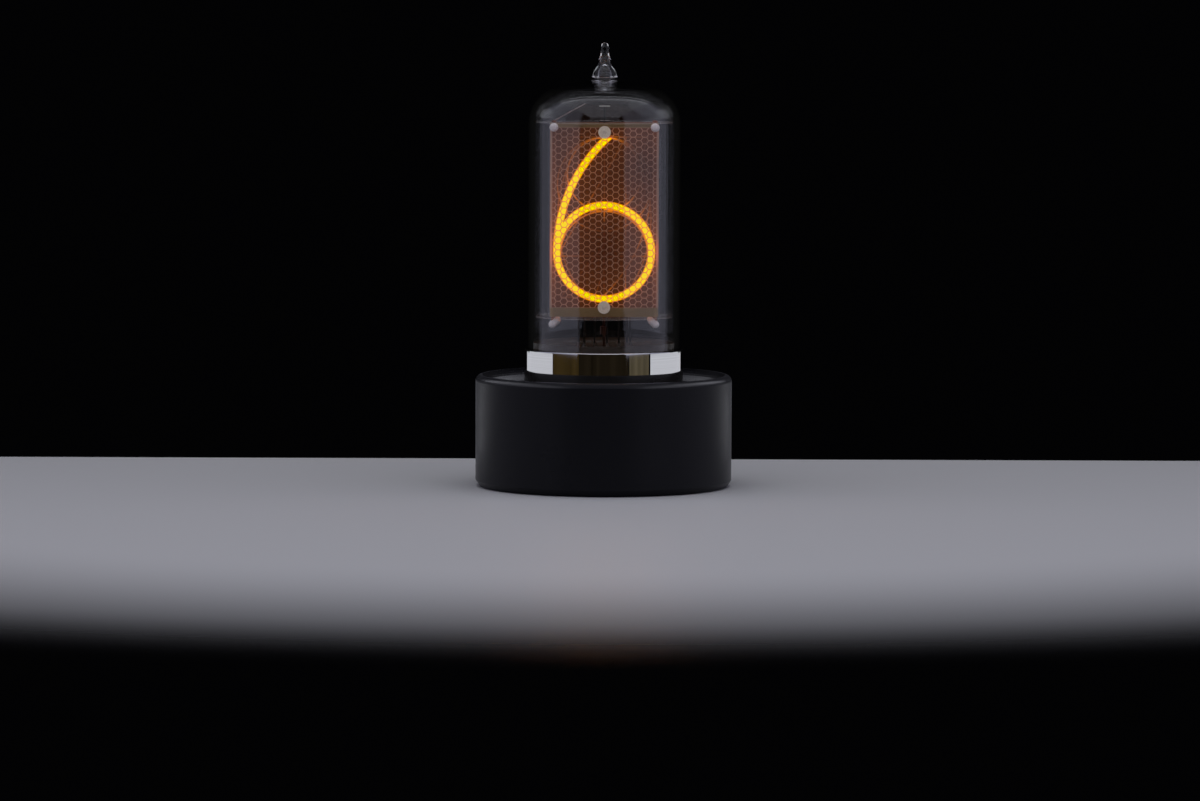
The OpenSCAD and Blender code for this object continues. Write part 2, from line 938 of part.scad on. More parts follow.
// Getter cup on a stiff wire above the upper mica, with the eyelet that holds it
module getter() {
    mica_face = mica_high_z + mica_t / 2;
    color("#5b5b5f") {
        translate([0, 0, mica_face]) ring(getter_r, 1.5, 0.5);
        translate([0, 0, mica_face]) cylinder(r = 1.6, h = 0.2);
        translate([0, 0, mica_face - 1]) cylinder(r = 0.4, h = getter_z - mica_face + 1.6);
        translate([0, 0, getter_z]) cylinder(r = getter_r, h = 0.6);
    }
}

module getter_wire() {
    color("#cdb8b0") {
        rod([-post_x + 0.4, -post_y, mica_high_z + 0.8], wire_bend, wire_r);
        rod(wire_bend + [-0.1, 0, 0.05], [-1.2, -0.6, getter_z + 0.7], wire_r);
    }
}

base_housing();
bottom_plate();
feet();
cover_screws();
socket_sleeve();
sleeve_screws();
socket_wafer();
socket_contacts();
socket_board();
stacking_header();
driver_board();
standoffs();
board_screws();
boost_coil();
hv_capacitor();
input_capacitor();
switch_transistor();
driver_chips();
controller_chip();
cell_holder();
coin_cell();
power_jack();
jack_pin();
button_board();
button_switches();
hour_button();
minute_button();
tube_collar();
tube_base();
tube_pins();
glass_envelope();
glass_stem();
lead_wires();
anode_lead();
mica_bottom();
mica_top();
corner_posts();
corner_beads();
post_feet();
anode_mesh();
rear_plate();
numeral_0();
numeral_1();
numeral_2();
numeral_3();
numeral_4();
numeral_5();
numeral_6();
numeral_7();
numeral_8();
numeral_9();
support_rods();
front_washers();
ceramic_spacers();
getter();
getter_wire();
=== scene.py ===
import math

import bpy
from mathutils import Euler, Matrix, Vector


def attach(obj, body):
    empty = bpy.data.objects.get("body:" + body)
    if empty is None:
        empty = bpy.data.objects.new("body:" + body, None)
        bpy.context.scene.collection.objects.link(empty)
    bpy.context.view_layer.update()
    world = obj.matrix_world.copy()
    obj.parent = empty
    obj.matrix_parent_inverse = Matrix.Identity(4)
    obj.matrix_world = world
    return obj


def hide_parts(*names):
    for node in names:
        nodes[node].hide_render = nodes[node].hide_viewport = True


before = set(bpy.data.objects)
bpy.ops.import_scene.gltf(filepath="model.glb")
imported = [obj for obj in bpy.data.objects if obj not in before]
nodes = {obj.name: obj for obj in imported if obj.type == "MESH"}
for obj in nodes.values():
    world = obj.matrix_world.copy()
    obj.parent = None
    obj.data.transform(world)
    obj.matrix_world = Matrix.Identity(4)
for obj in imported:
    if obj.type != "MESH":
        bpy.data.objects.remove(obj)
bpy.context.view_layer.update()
mm = 0.001

print("frame loaded:", len(nodes), "nodes")


# helpers for the meshes

def addObject(name, verts, faces, body, slot, smoothAngle=35):
    mesh = bpy.data.meshes.new(name)
    mesh.from_pydata([Vector(v) * mm for v in verts], [], faces)
    mesh.validate()
    mesh.update()
    mesh.polygons.foreach_set("use_smooth", [True] * len(mesh.polygons))
    mesh.set_sharp_from_angle(angle=math.radians(smoothAngle))
    piece = bpy.data.objects.new(name, mesh)
    bpy.context.scene.collection.objects.link(piece)
    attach(piece, body)
    return piece


def arcPoints(centre, radius, start, end, steps):
    points = []
    for i in range(steps + 1):
        a = math.radians(start + (end - start) * i / steps)
        points.append((centre[0] + radius * math.cos(a), centre[1] + radius * math.sin(a)))
    return points


def lathe(name, profile, body, slot, segments=160, closed=True, smoothAngle=35):
    # the profile is a list of (radius, height) in millimetres
    verts, faces, rings = [], [], []
    for r, z in profile:
        if r < 1e-6:
            rings.append([len(verts)])
            verts.append((0, 0, z))
        else:
            rings.append(list(range(len(verts), len(verts) + segments)))
            for s in range(segments):
                a = 2 * math.pi * s / segments
                verts.append((r * math.cos(a), r * math.sin(a), z))
    pairs = list(zip(rings, rings[1:]))
    if closed:
        pairs.append((rings[-1], rings[0]))
    for low, high in pairs:
        if len(low) == 1 and len(high) == 1:
            continue
        for s in range(segments):
            t = (s + 1) % segments
            if len(low) == 1:
                faces.append((low[0], high[t], high[s]))
            elif len(high) == 1:
                faces.append((low[s], low[t], high[0]))
            else:
                faces.append((low[s], low[t], high[t], high[s]))
    return addObject(name, verts, faces, body, slot, smoothAngle)


def mergeMeshes(parts):
    # joins several (verts, faces) pairs into one
    verts, faces = [], []
    for partVerts, partFaces in parts:
        base = len(verts)
        verts += partVerts
        faces += [tuple(base + i for i in f) for f in partFaces]
    return verts, faces


# effects that several materials share

def newGroup(name, inputs, outputs):
    group = bpy.data.node_groups.new(name, "ShaderNodeTree")
    for label, kind, value in inputs:
        socket = group.interface.new_socket(label, in_out="INPUT", socket_type=kind)
        socket.default_value = value
    for label, kind in outputs:
        group.interface.new_socket(label, in_out="OUTPUT", socket_type=kind)
    return group, group.nodes.new("NodeGroupInput"), group.nodes.new("NodeGroupOutput")


def math2(tree, operation, a, b=None, clamp=False):
    n = tree.nodes.new("ShaderNodeMath")
    n.operation = operation
    n.use_clamp = clamp
    for socket, value in zip(n.inputs, (a, b)):
        if value is None:
            continue
        if isinstance(value, (int, float)):
            socket.default_value = value
        else:
            tree.links.new(value, socket)
    return n.outputs[0]


def hypotenuse(tree, a, b):
    squares = [math2(tree, "MULTIPLY", side, side) for side in (a, b)]
    return math2(tree, "SQRT", math2(tree, "ADD", *squares))


def objectPosition(tree):
    return tree.nodes.new("ShaderNodeTexCoord").outputs["Object"]


def splitAxes(tree, vector):
    split = tree.nodes.new("ShaderNodeSeparateXYZ")
    tree.links.new(vector, split.inputs[0])
    return split.outputs


def mapped(tree, value, fromLow=0.0, fromHigh=1.0, toLow=0.0, toHigh=1.0, smooth=False):
    spread = tree.nodes.new("ShaderNodeMapRange")
    spread.interpolation_type = "SMOOTHSTEP" if smooth else "LINEAR"
    for label, number in zip(("From Min", "From Max", "To Min", "To Max"), (fromLow, fromHigh, toLow, toHigh)):
        spread.inputs[label].default_value = number
    tree.links.new(value, spread.inputs["Value"])
    return spread.outputs["Result"]


def makeTurnedLines():
    # fine rings left by a lathe tool: heights on a wall, radii on a flat
    g, gin, gout = newGroup(
        "turnedLines",
        [("Lines per Metre", "NodeSocketFloat", 2500.0), ("Unevenness", "NodeSocketFloat", 0.5)],
        [("Height", "NodeSocketFloat"), ("Shade", "NodeSocketFloat")])
    position = objectPosition(g)
    x, y, z = splitAxes(g, position)
    along = math2(g, "ADD", hypotenuse(g, x, y), z)
    scaled = math2(g, "MULTIPLY", along, gin.outputs["Lines per Metre"])
    fine = g.nodes.new("ShaderNodeTexNoise")
    fine.noise_dimensions = "1D"
    fine.inputs["Scale"].default_value = 1.0
    fine.inputs["Detail"].default_value = 3.0
    g.links.new(scaled, fine.inputs["W"])
    broad = g.nodes.new("ShaderNodeTexNoise")
    broad.inputs["Scale"].default_value = 60.0
    broad.inputs["Detail"].default_value = 2.0
    g.links.new(position, broad.inputs["Vector"])
    uneven = math2(g, "MULTIPLY", broad.outputs["Fac"], gin.outputs["Unevenness"])
    height = math2(g, "ADD", fine.outputs["Fac"], uneven)
    g.links.new(height, gout.inputs["Height"])
    g.links.new(fine.outputs["Fac"], gout.inputs["Shade"])
    return g


def makeDust():
    # soft patches of dust and handling that dull a surface here and there
    g, gin, gout = newGroup(
        "dust",
        [("Scale", "NodeSocketFloat", 40.0), ("Amount", "NodeSocketFloat", 0.3)],
        [("Mask", "NodeSocketFloat")])
    noise = g.nodes.new("ShaderNodeTexNoise")
    noise.inputs["Detail"].default_value = 5.0
    noise.inputs["Roughness"].default_value = 0.6
    g.links.new(objectPosition(g), noise.inputs["Vector"])
    g.links.new(gin.outputs["Scale"], noise.inputs["Scale"])
    patches = mapped(g, noise.outputs["Fac"], 0.35, 0.7)
    g.links.new(math2(g, "MULTIPLY", patches, gin.outputs["Amount"]), gout.inputs["Mask"])
    return g


def makeGrain():
    # small grains for fired ceramic, rubber and moulded plastic
    g, gin, gout = newGroup(
        "grain",
        [("Scale", "NodeSocketFloat", 1500.0), ("Contrast", "NodeSocketFloat", 0.5)],
        [("Height", "NodeSocketFloat"), ("Shade", "NodeSocketFloat")])
    position = objectPosition(g)
    cells = g.nodes.new("ShaderNodeTexVoronoi")
    g.links.new(position, cells.inputs["Vector"])
    g.links.new(gin.outputs["Scale"], cells.inputs["Scale"])
    noise = g.nodes.new("ShaderNodeTexNoise")
    noise.inputs["Detail"].default_value = 3.0
    g.links.new(position, noise.inputs["Vector"])
    g.links.new(gin.outputs["Scale"], noise.inputs["Scale"])
    mixed = math2(g, "MULTIPLY", noise.outputs["Fac"], gin.outputs["Contrast"])
    g.links.new(math2(g, "ADD", mixed, cells.outputs["Distance"]), gout.inputs["Height"])
    g.links.new(noise.outputs["Fac"], gout.inputs["Shade"])
    return g


litDigit = {
    # the stroke's middle line in millimetres, and the degrees at which its long arc ends
    "y": -6.6,
    "bowlCentre": 99.0,
    "bowlRadius": 19.7,
    "stemRadius": 65.3,
    "stemTop": 146.5,
    "stemEnd": 133.0,
}


def makeGlowSpill(shape):
    # how strongly the lit digit's glow reaches a point, from its distance to the stroke
    g, gin, gout = newGroup(
        "glowSpill",
        [("Near Reach", "NodeSocketFloat", 0.0016), ("Far Reach", "NodeSocketFloat", 0.009)],
        [("Near", "NodeSocketFloat"), ("Far", "NodeSocketFloat")])
    x, y, z = splitAxes(g, objectPosition(g))
    rise = math2(g, "SUBTRACT", z, shape["bowlCentre"] * mm)
    bowl = math2(g, "SUBTRACT", hypotenuse(g, x, rise), shape["bowlRadius"] * mm)
    bowl = math2(g, "ABSOLUTE", bowl)
    across = math2(g, "SUBTRACT", x, (shape["stemRadius"] - shape["bowlRadius"]) * mm)
    stem = math2(g, "SUBTRACT", hypotenuse(g, across, rise), shape["stemRadius"] * mm)
    stem = math2(g, "ABSOLUTE", stem)
    below = math2(g, "MAXIMUM", math2(g, "MULTIPLY", rise, -1.0), 0.0)
    above = math2(g, "MAXIMUM", math2(g, "SUBTRACT", z, shape["stemTop"] * mm), 0.0)
    # the long arc ends at the bowl's middle, so below that it counts as farther
    stem = math2(g, "ADD", stem, math2(g, "ADD", math2(g, "MULTIPLY", below, 3.0), above))
    depth = math2(g, "SUBTRACT", y, shape["y"] * mm)
    apart = hypotenuse(g, math2(g, "MINIMUM", bowl, stem), depth)
    for label, reach in (("Near", "Near Reach"), ("Far", "Far Reach")):
        fall = math2(g, "MULTIPLY", math2(g, "DIVIDE", apart, gin.outputs[reach]), -1.0)
        g.links.new(math2(g, "EXPONENT", fall), gout.inputs[label])
    return g


def makeRimMask():
    # the cut rim of a flat sheet, where its face turns away from the vertical
    g, gin, gout = newGroup("rimMask", [("Width", "NodeSocketFloat", 0.5)], [("Mask", "NodeSocketFloat")])
    normal = g.nodes.new("ShaderNodeNewGeometry").outputs["True Normal"]
    upright = math2(g, "ABSOLUTE", splitAxes(g, normal)[2])
    g.links.new(math2(g, "LESS_THAN", upright, gin.outputs["Width"]), gout.inputs["Mask"])
    return g


turnedLines = makeTurnedLines()
glowSpill = makeGlowSpill(litDigit)
rimMask = makeRimMask()
dust = makeDust()
grain = makeGrain()
print("shader groups made")


# one function for each kind of finish

def newMaterial(name, values):
    material = bpy.data.materials.new(name)
    material.use_nodes = True
    shader = material.node_tree.nodes["Principled BSDF"]
    for socket, value in values.items():
        if isinstance(value, tuple) and len(value) == 3:
            value = (*value, 1.0)
        shader.inputs[socket].default_value = value
    return material, material.node_tree, shader


def placeGroup(tree, group, **values):
    n = tree.nodes.new("ShaderNodeGroup")
    n.node_tree = group
    for label, value in values.items():
        n.inputs[label.replace("_", " ")].default_value = value
    return n


def rampColour(tree, factor, dark, light, shader, low=0.3, high=0.7):
    ramp = tree.nodes.new("ShaderNodeValToRGB")
    ramp.color_ramp.elements[0].position = low
    ramp.color_ramp.elements[0].color = (*dark, 1.0)
    ramp.color_ramp.elements[1].position = high
    ramp.color_ramp.elements[1].color = (*light, 1.0)
    tree.links.new(factor, ramp.inputs["Fac"])
    tree.links.new(ramp.outputs["Color"], shader.inputs["Base Color"])


def rangeTo(tree, factor, low, high, socket):
    tree.links.new(mapped(tree, factor, toLow=low, toHigh=high), socket)


def addBump(tree, height, shader, distance):
    bump = tree.nodes.new("ShaderNodeBump")
    bump.inputs["Strength"].default_value = 1.0
    bump.inputs["Distance"].default_value = distance
    tree.links.new(height, bump.inputs["Height"])
    tree.links.new(bump.outputs["Normal"], shader.inputs["Normal"])


def turnedMetal(name, dark, light, roughness, metallic, lines, depth, specular=0.5):
    material, tree, shader = newMaterial(name, {"Metallic": metallic, "Specular IOR Level": specular})
    rings = placeGroup(tree, turnedLines, Lines_per_Metre=lines)
    rampColour(tree, rings.outputs["Shade"], dark, light, shader)
    patches = placeGroup(tree, dust, Amount=1.0)
    rangeTo(tree, patches.outputs["Mask"], roughness * 0.88, roughness * 1.16, shader.inputs["Roughness"])
    addBump(tree, rings.outputs["Height"], shader, depth)
    return material


def plainMetal(name, dark, light, roughness, metallic=1.0, grainScale=900.0, depth=0.00001, specular=0.5):
    material, tree, shader = newMaterial(name, {"Metallic": metallic, "Specular IOR Level": specular})
    grains = placeGroup(tree, grain, Scale=grainScale)
    rampColour(tree, grains.outputs["Shade"], dark, light, shader)
    patches = placeGroup(tree, dust, Scale=150.0, Amount=1.0)
    rangeTo(tree, patches.outputs["Mask"], roughness - 0.05, roughness + 0.08, shader.inputs["Roughness"])
    addBump(tree, grains.outputs["Height"], shader, depth)
    return material


def mouldedMaterial(name, dark, light, roughness, grainScale=1500.0, depth=0.00002, specular=0.5):
    material, tree, shader = newMaterial(name, {"Metallic": 0.0, "Specular IOR Level": specular})
    grains = placeGroup(tree, grain, Scale=grainScale)
    rampColour(tree, grains.outputs["Shade"], dark, light, shader)
    patches = placeGroup(tree, dust, Amount=1.0)
    rangeTo(tree, patches.outputs["Mask"], roughness - 0.04, roughness + 0.08, shader.inputs["Roughness"])
    addBump(tree, grains.outputs["Height"], shader, depth)
    return material


def clearGlass(name, colour, roughness, ior):
    material, tree, shader = newMaterial(name, {
        "Base Color": colour, "Transmission Weight": 1.0, "IOR": ior, "Metallic": 0.0})
    patches = placeGroup(tree, dust, Scale=25.0, Amount=1.0)
    rangeTo(tree, patches.outputs["Mask"], roughness, roughness + 0.004, shader.inputs["Roughness"])
    return material


def thinSheet(name, colour, alphaLow, alphaHigh, rim, roughness):
    # a clear sheet of mica: its flakes and stains show as faint patches, and its cut rim is pale
    material, tree, shader = newMaterial(name, {"Base Color": colour, "Metallic": 0.0})
    patches = placeGroup(tree, dust, Scale=90.0, Amount=1.0)
    cover = mapped(tree, patches.outputs["Mask"], toLow=alphaLow, toHigh=alphaHigh)
    edge = placeGroup(tree, rimMask)
    paleRim = math2(tree, "MULTIPLY", edge.outputs["Mask"], rim)
    tree.links.new(math2(tree, "MAXIMUM", cover, paleRim), shader.inputs["Alpha"])
    rangeTo(tree, patches.outputs["Mask"], roughness, roughness + 0.1, shader.inputs["Roughness"])
    return material


def glowMaterial(name, shown, cast, castStrength, cover):
    # the neon glow: one colour for the eye, a stronger orange for the light it casts
    material = bpy.data.materials.new(name)
    material.use_nodes = True
    tree = material.node_tree
    tree.nodes.clear()
    output = tree.nodes.new("ShaderNodeOutputMaterial")
    path = tree.nodes.new("ShaderNodeLightPath")
    seen = math2(tree, "ADD", path.outputs["Is Camera Ray"], path.outputs["Is Transmission Ray"], True)
    seen = math2(tree, "ADD", seen, path.outputs["Is Glossy Ray"], True)
    eye = tree.nodes.new("ShaderNodeEmission")
    eye.inputs["Color"].default_value = (*shown, 1.0)
    eye.inputs["Strength"].default_value = 1.0
    lamp = tree.nodes.new("ShaderNodeEmission")
    lamp.inputs["Color"].default_value = (*cast, 1.0)
    lamp.inputs["Strength"].default_value = castStrength
    both = tree.nodes.new("ShaderNodeMixShader")
    tree.links.new(seen, both.inputs["Fac"])
    tree.links.new(lamp.outputs[0], both.inputs[1])
    tree.links.new(eye.outputs[0], both.inputs[2])
    if cover < 1.0:
        clear = tree.nodes.new("ShaderNodeBsdfTransparent")
        mist = tree.nodes.new("ShaderNodeMixShader")
        mist.inputs["Fac"].default_value = cover
        tree.links.new(clear.outputs[0], mist.inputs[1])
        tree.links.new(both.outputs[0], mist.inputs[2])
        tree.links.new(mist.outputs[0], output.inputs["Surface"])
    else:
        tree.links.new(both.outputs[0], output.inputs["Surface"])
    return material


def tintBeyond(material, axis, limit, colour):
    # another colour for the stretch of a piece that lies beyond a limit along one axis
    tree = material.node_tree
    base = tree.nodes["Principled BSDF"].inputs["Base Color"]
    along = splitAxes(tree, objectPosition(tree))["XYZ".index(axis)]
    mix = tree.nodes.new("ShaderNodeMix")
    mix.data_type = "RGBA"
    factor, colourA, colourB, result = mix.inputs[0], mix.inputs[6], mix.inputs[7], mix.outputs[2]
    tree.links.new(math2(tree, "GREATER_THAN", along, limit), factor)
    tree.links.new(base.links[0].from_socket, colourA)
    colourB.default_value = (*colour, 1.0)
    tree.links.new(result, base)
    return material


def addGlowSpill(material, near, far, nearReach=0.0016, farReach=0.009):
    # tints what stands near the lit digit with its neon glow
    tree = material.node_tree
    shader = tree.nodes["Principled BSDF"]
    spill = placeGroup(tree, glowSpill, Near_Reach=nearReach, Far_Reach=farReach)
    mixes = []
    for label, colour in (("Near", near), ("Far", far)):
        scale = tree.nodes.new("ShaderNodeVectorMath")
        scale.operation = "SCALE"
        scale.inputs[0].default_value = colour
        tree.links.new(spill.outputs[label], scale.inputs["Scale"])
        mixes.append(scale.outputs[0])
    total = tree.nodes.new("ShaderNodeVectorMath")
    total.operation = "ADD"
    tree.links.new(mixes[0], total.inputs[0])
    tree.links.new(mixes[1], total.inputs[1])
    tree.links.new(total.outputs[0], shader.inputs["Emission Color"])
    shader.inputs["Emission Strength"].default_value = 1.0
    return material


# each has its dark and light shade and its roughness first, then what its kind of finish adds
materials = {
    "anodised": turnedMetal(
        "anodised", (0.003, 0.003, 0.004), (0.005, 0.005, 0.0065), 0.3, 0.0, 2600.0, 0.00001, specular=0.12),
    "plate": turnedMetal("plate", (0.016, 0.016, 0.017), (0.028, 0.028, 0.03), 0.45, 0.4, 1500.0, 0.00002),
    "sleeve": mouldedMaterial("sleeve", (0.014, 0.013, 0.012), (0.024, 0.022, 0.02), 0.28),
    "chrome": turnedMetal("chrome", (0.78, 0.78, 0.79), (0.84, 0.84, 0.85), 0.02, 1.0, 1800.0, 0.0000002),
    "steel": plainMetal("steel", (0.45, 0.45, 0.46), (0.62, 0.62, 0.63), 0.3),
    "button": turnedMetal("button", (0.16, 0.16, 0.17), (0.24, 0.24, 0.25), 0.32, 0.9, 6000.0, 0.00001),
    "brass": plainMetal("brass", (0.6, 0.42, 0.14), (0.75, 0.55, 0.22), 0.28),
    "copper": plainMetal(
        "copper", (0.04, 0.016, 0.01), (0.065, 0.026, 0.016), 0.45, metallic=0.4, specular=0.2),
    "nickel": plainMetal("nickel", (0.22, 0.19, 0.17), (0.34, 0.3, 0.27), 0.38),
    "rubber": mouldedMaterial("rubber", (0.012, 0.012, 0.012), (0.026, 0.026, 0.026), 0.75, 2200.0, 0.00005),
    "plastic": mouldedMaterial("plastic", (0.012, 0.012, 0.013), (0.024, 0.024, 0.026), 0.42),
    "board": mouldedMaterial("board", (0.006, 0.07, 0.022), (0.014, 0.11, 0.04), 0.35, 700.0),
    "canSleeve": mouldedMaterial("canSleeve", (0.012, 0.018, 0.05), (0.02, 0.03, 0.08), 0.25),
    "washer": mouldedMaterial("washer", (0.7, 0.58, 0.45), (0.88, 0.77, 0.64), 0.55, 2600.0, 0.00004),
    "ceramic": mouldedMaterial("ceramic", (0.6, 0.56, 0.5), (0.74, 0.7, 0.64), 0.5, 2600.0, 0.00004),
    "frit": mouldedMaterial("frit", (0.6, 0.53, 0.54), (0.76, 0.69, 0.7), 0.3, 1800.0, 0.00006),
    # the post feet's frit is a lighter copy of the frit: painted light that offsets the shade under the mica
    "footFritPaintedLight": mouldedMaterial("footFritPaintedLight", (0.74, 0.68, 0.7), (0.88, 0.83, 0.85), 0.35, 1800.0, 0.00006),
    "glass": clearGlass("glass", (0.985, 0.992, 1.0), 0.0, 1.43),
    # the stem is opaque dark glass; its brown tint is a painted reflection of the brownish sheen that the
    # glass mirrors
    "stemGlass": mouldedMaterial(
        "stemGlass", (0.036, 0.025, 0.017), (0.058, 0.044, 0.034), 0.34, 300.0, 0.000004, specular=0.45),
    "mica": addGlowSpill(
        thinSheet("mica", (0.8, 0.79, 0.77), 0.02, 0.07, 0.16, 0.12), (0.0, 0.0, 0.0), (0.5, 0.16, 0.06)),
    "lead": plainMetal(
        "lead", (0.007, 0.006, 0.005), (0.012, 0.01, 0.009), 0.6, metallic=0.0, specular=0.1),
    "getterWire": tintBeyond(  # dark where it nears the getter
        plainMetal("getterWire", (0.3, 0.24, 0.23), (0.46, 0.37, 0.36), 0.4),
        "X", -0.0081, (0.012, 0.011, 0.011)),
    "getter": tintBeyond(  # its stem is dark; its flat top is painted pale, a painted highlight for the glint on the disc
        plainMetal("getter", (0.004, 0.004, 0.004), (0.009, 0.009, 0.009), 0.6, metallic=0.0, specular=0.1),
        "Z", 0.1603, (0.5, 0.5, 0.46)),
    "rod": plainMetal("rod", (0.6, 0.5, 0.4), (0.78, 0.67, 0.55), 0.5, metallic=0.1),
    "eyelet": plainMetal("eyelet", (0.36, 0.29, 0.27), (0.52, 0.43, 0.4), 0.4, metallic=0.3),
    "anode": addGlowSpill(
        plainMetal("anode", (0.26, 0.155, 0.11), (0.38, 0.23, 0.17), 0.42, metallic=0.25, grainScale=2500.0),
        (120.0, 15.0, 0.0), (0.13, 0.037, 0.01), nearReach=0.0005),
    "strip": plainMetal(
        "strip", (0.22, 0.14, 0.06), (0.31, 0.2, 0.092), 0.42, metallic=0.6, grainScale=2500.0),
    "rearSheet": addGlowSpill(
        plainMetal(
            "rearSheet", (0.038, 0.017, 0.011), (0.068, 0.03, 0.02), 0.5, metallic=0.5, grainScale=2500.0),
        (0.1, 0.02, 0.0), (0.12, 0.03, 0.007), farReach=0.02),
    "digit": addGlowSpill(
        plainMetal("digit", (0.13, 0.055, 0.03), (0.2, 0.085, 0.045), 0.4, metallic=0.5, grainScale=2500.0),
        (1.6, 0.42, 0.01), (0.12, 0.03, 0.003), nearReach=0.0026, farReach=0.006),
    "glowCore": glowMaterial("glowCore", (1.0, 0.72, 0.0), (1.0, 0.3, 0.06), 4.0, 1.0),
    "glowSheath": glowMaterial("glowSheath", (1.0, 0.3, 0.0), (1.0, 0.3, 0.06), 1.0, 0.8),
}

nodeMaterials = {
    "base_housing": "anodised", "bottom_plate": "plate", "feet": "rubber", "cover_screws": "steel",
    "socket_sleeve": "sleeve", "sleeve_screws": "steel", "socket_wafer": "ceramic",
    "socket_contacts": "brass", "socket_board": "board", "stacking_header": "plastic",
    "driver_board": "board", "standoffs": "brass", "board_screws": "steel", "boost_coil": "plastic",
    "hv_capacitor": "canSleeve", "input_capacitor": "canSleeve", "switch_transistor": "plastic",
    "driver_chips": "plastic", "controller_chip": "plastic", "cell_holder": "plastic",
    "coin_cell": "steel", "power_jack": "plastic", "jack_pin": "steel", "button_board": "board",
    "button_switches": "plastic", "hour_button": "button", "minute_button": "button",
    "tube_collar": "chrome", "tube_base": "plastic", "tube_pins": "nickel", "glass_envelope": "glass",
    "glass_stem": "stemGlass", "lead_wires": "lead", "anode_lead": "copper", "mica_bottom": "mica",
    "mica_top": "mica", "corner_posts": "rearSheet", "corner_beads": "frit", "post_feet": "footFritPaintedLight",
    "anode_mesh": "anode", "rear_plate": "rearSheet", "support_rods": "rod",
    "front_washers": "washer", "ceramic_spacers": "ceramic", "getter": "getter", "getter_wire": "getterWire",
}

for name, piece in nodes.items():
    finish = nodeMaterials.get(name, "digit")
    piece.data.materials.clear()
    piece.data.materials.append(materials[finish])
print("materials made and assigned:", len(materials))


# the glass: envelope with its tip, pressed stem, seals, and the rim of the getter's eyelet

glassShape = {
    "radius": 32.0,
    "wall": 2.2,
    "low": 52.2,
    "crown": 171.0,
    "crownRadius": 70.0,
    "knuckleRadius": 16.0,
    "crownEnd": 83.8,  # degrees, where the tip's foot begins
    "wallSteps": 12,
    "knuckleSteps": 18,
    "crownSteps": 10,
    "tip": [
        (7.1, 170.7), (6.5, 170.85), (6.05, 171.03), (5.76, 171.28), (5.6, 171.62), (5.49, 172.15),
        (5.35, 172.85), (5.14, 173.7), (4.86, 174.6), (4.52, 175.5), (4.1, 176.5), (3.65, 177.45),
        (3.2, 178.35), (2.76, 179.25), (2.36, 180.1), (2.04, 180.9), (1.83, 181.75), (1.7, 182.8),
        (1.62, 184.2), (1.54, 185.5), (1.3, 186.2), (0.8, 186.52), (0.0, 186.6)],
    "cavity": [
        (0.0, 177.3), (0.7, 177.15), (1.5, 176.6), (2.1, 175.8), (2.5, 174.8), (2.7, 173.6),
        (2.75, 172.2), (2.75, 170.8), (2.78, 170.0), (2.9, 169.4), (3.2, 168.98), (3.7, 168.75)],
}


def domeProfile(shape, inset):
    # wall, knuckle and crown from the bottom up, without the tip
    knuckleX = shape["radius"] - shape["knuckleRadius"]
    crownZ = shape["crown"] - shape["crownRadius"]
    reach = shape["crownRadius"] - shape["knuckleRadius"]
    knuckleZ = crownZ + math.sqrt(reach ** 2 - knuckleX ** 2)
    tangent = 90 - math.degrees(math.asin(knuckleX / reach))
    height, steps = knuckleZ - shape["low"], shape["wallSteps"]
    wall = [(shape["radius"] - inset, shape["low"] + height * i / steps) for i in range(steps)]
    knuckle = arcPoints(
        (knuckleX, knuckleZ), shape["knuckleRadius"] - inset, 0, tangent, shape["knuckleSteps"])
    crown = arcPoints(
        (0, crownZ), shape["crownRadius"] - inset, tangent, shape["crownEnd"], shape["crownSteps"])
    return wall + knuckle + crown[1:]


def makeEnvelope(shape):
    outer = domeProfile(shape, 0) + shape["tip"]
    inner = domeProfile(shape, shape["wall"])
    return lathe("blownGlass", outer + shape["cavity"] + inner[::-1], "tube", "clear_glass", segments=192)


envelope = makeEnvelope(glassShape)
envelope.data.materials.append(materials["glass"])
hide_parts("glass_envelope")
envelope.visible_shadow = False

stemShape = {
    "radius": 29.7,
    "low": 54.5,
    "top": 59.0,
    "meniscus": 2.4,
    "meniscusRise": 1.9,
    # radius, and height over the top
    "floor": [(0.0, -0.3), (4.0, -0.25), (9.0, 0.0), (13.0, 0.1), (18.0, -0.1), (23.6, -0.15),
              (24.5, 0.1), (24.9, 0.15), (25.3, -0.05), (25.8, -0.4), (26.6, -0.5)],
}


def makeStem(shape):
    r, top = shape["radius"], shape["top"]
    floor = [(across, top + height) for across, height in shape["floor"]]
    rise = arcPoints((r - shape["meniscus"], top + shape["meniscusRise"]), shape["meniscus"], -80, 0, 8)
    profile = [(0.0, shape["low"]), (r, shape["low"])] + rise[::-1] + floor[::-1]
    return lathe("pressedStem", profile, "tube", "stem_glass", segments=128, closed=False)


stem = makeStem(stemShape)
stem.data.materials.append(materials["stemGlass"])
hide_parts("glass_stem")
stem.visible_shadow = False

sealShape = {
    "leads": 13,
    "circle": 11.0,
    "segments": 20,
    "rings": [(1.5, -0.15), (1.1, 0.35), (0.75, 1.1), (0.5, 1.9)],  # radius, and height over the stem's top
}


def makeSeals(shape, top):
    # small glass cones where each lead leaves the stem
    parts = []
    segments, rings = shape["segments"], shape["rings"]
    for i in range(shape["leads"]):
        a = 2 * math.pi * i / shape["leads"]
        cx, cy = shape["circle"] * math.cos(a), shape["circle"] * math.sin(a)
        verts, faces = [], []
        for r, height in rings:
            for s in range(segments):
                t = 2 * math.pi * s / segments
                verts.append((cx + r * math.cos(t), cy + r * math.sin(t), top + height))
        for k in range(len(rings) - 1):
            for s in range(segments):
                t = (s + 1) % segments
                low, high = k * segments, (k + 1) * segments
                faces.append((low + s, low + t, high + t, high + s))
        faces.append(tuple(range((len(rings) - 1) * segments, len(rings) * segments)))
        parts.append((verts, faces))
    return addObject("leadSeals", *mergeMeshes(parts), "tube", "stem_glass", smoothAngle=60)


seals = makeSeals(sealShape, stemShape["top"])
seals.data.materials.append(materials["stemGlass"])
seals.visible_shadow = False

eyeletShape = {"radius": 2.18, "height": 153.97, "wire": 0.12}

